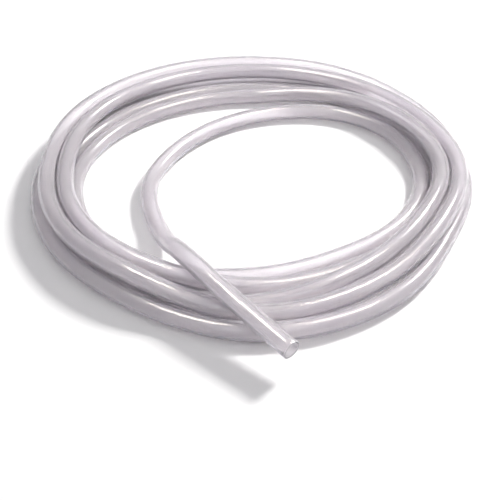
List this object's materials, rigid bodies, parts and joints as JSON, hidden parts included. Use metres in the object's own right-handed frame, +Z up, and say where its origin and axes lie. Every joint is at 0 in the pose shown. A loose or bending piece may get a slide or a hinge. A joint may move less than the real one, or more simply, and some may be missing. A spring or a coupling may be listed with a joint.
{
  "type": "silicone tubing coil",
  "caption": "Translucent silicone laboratory tubing wound into a loose coil on the bench, with one open end laid across the coil's rim",
  "frame": {"origin": "The middle of the space that the tubing takes up, on the surface it lies on", "axes": "+Z up, along the axis of the coil; the free end lies towards -Y and slightly +X"},
  "size_m": [0.2099, 0.2359, 0.0213],
  "materials": {
    "silicone": "translucent milky silicone rubber with a soft satin sheen"
  },
  "bodies": {
    "root": {"tubing": "silicone"}
  },
  "joints": []
}
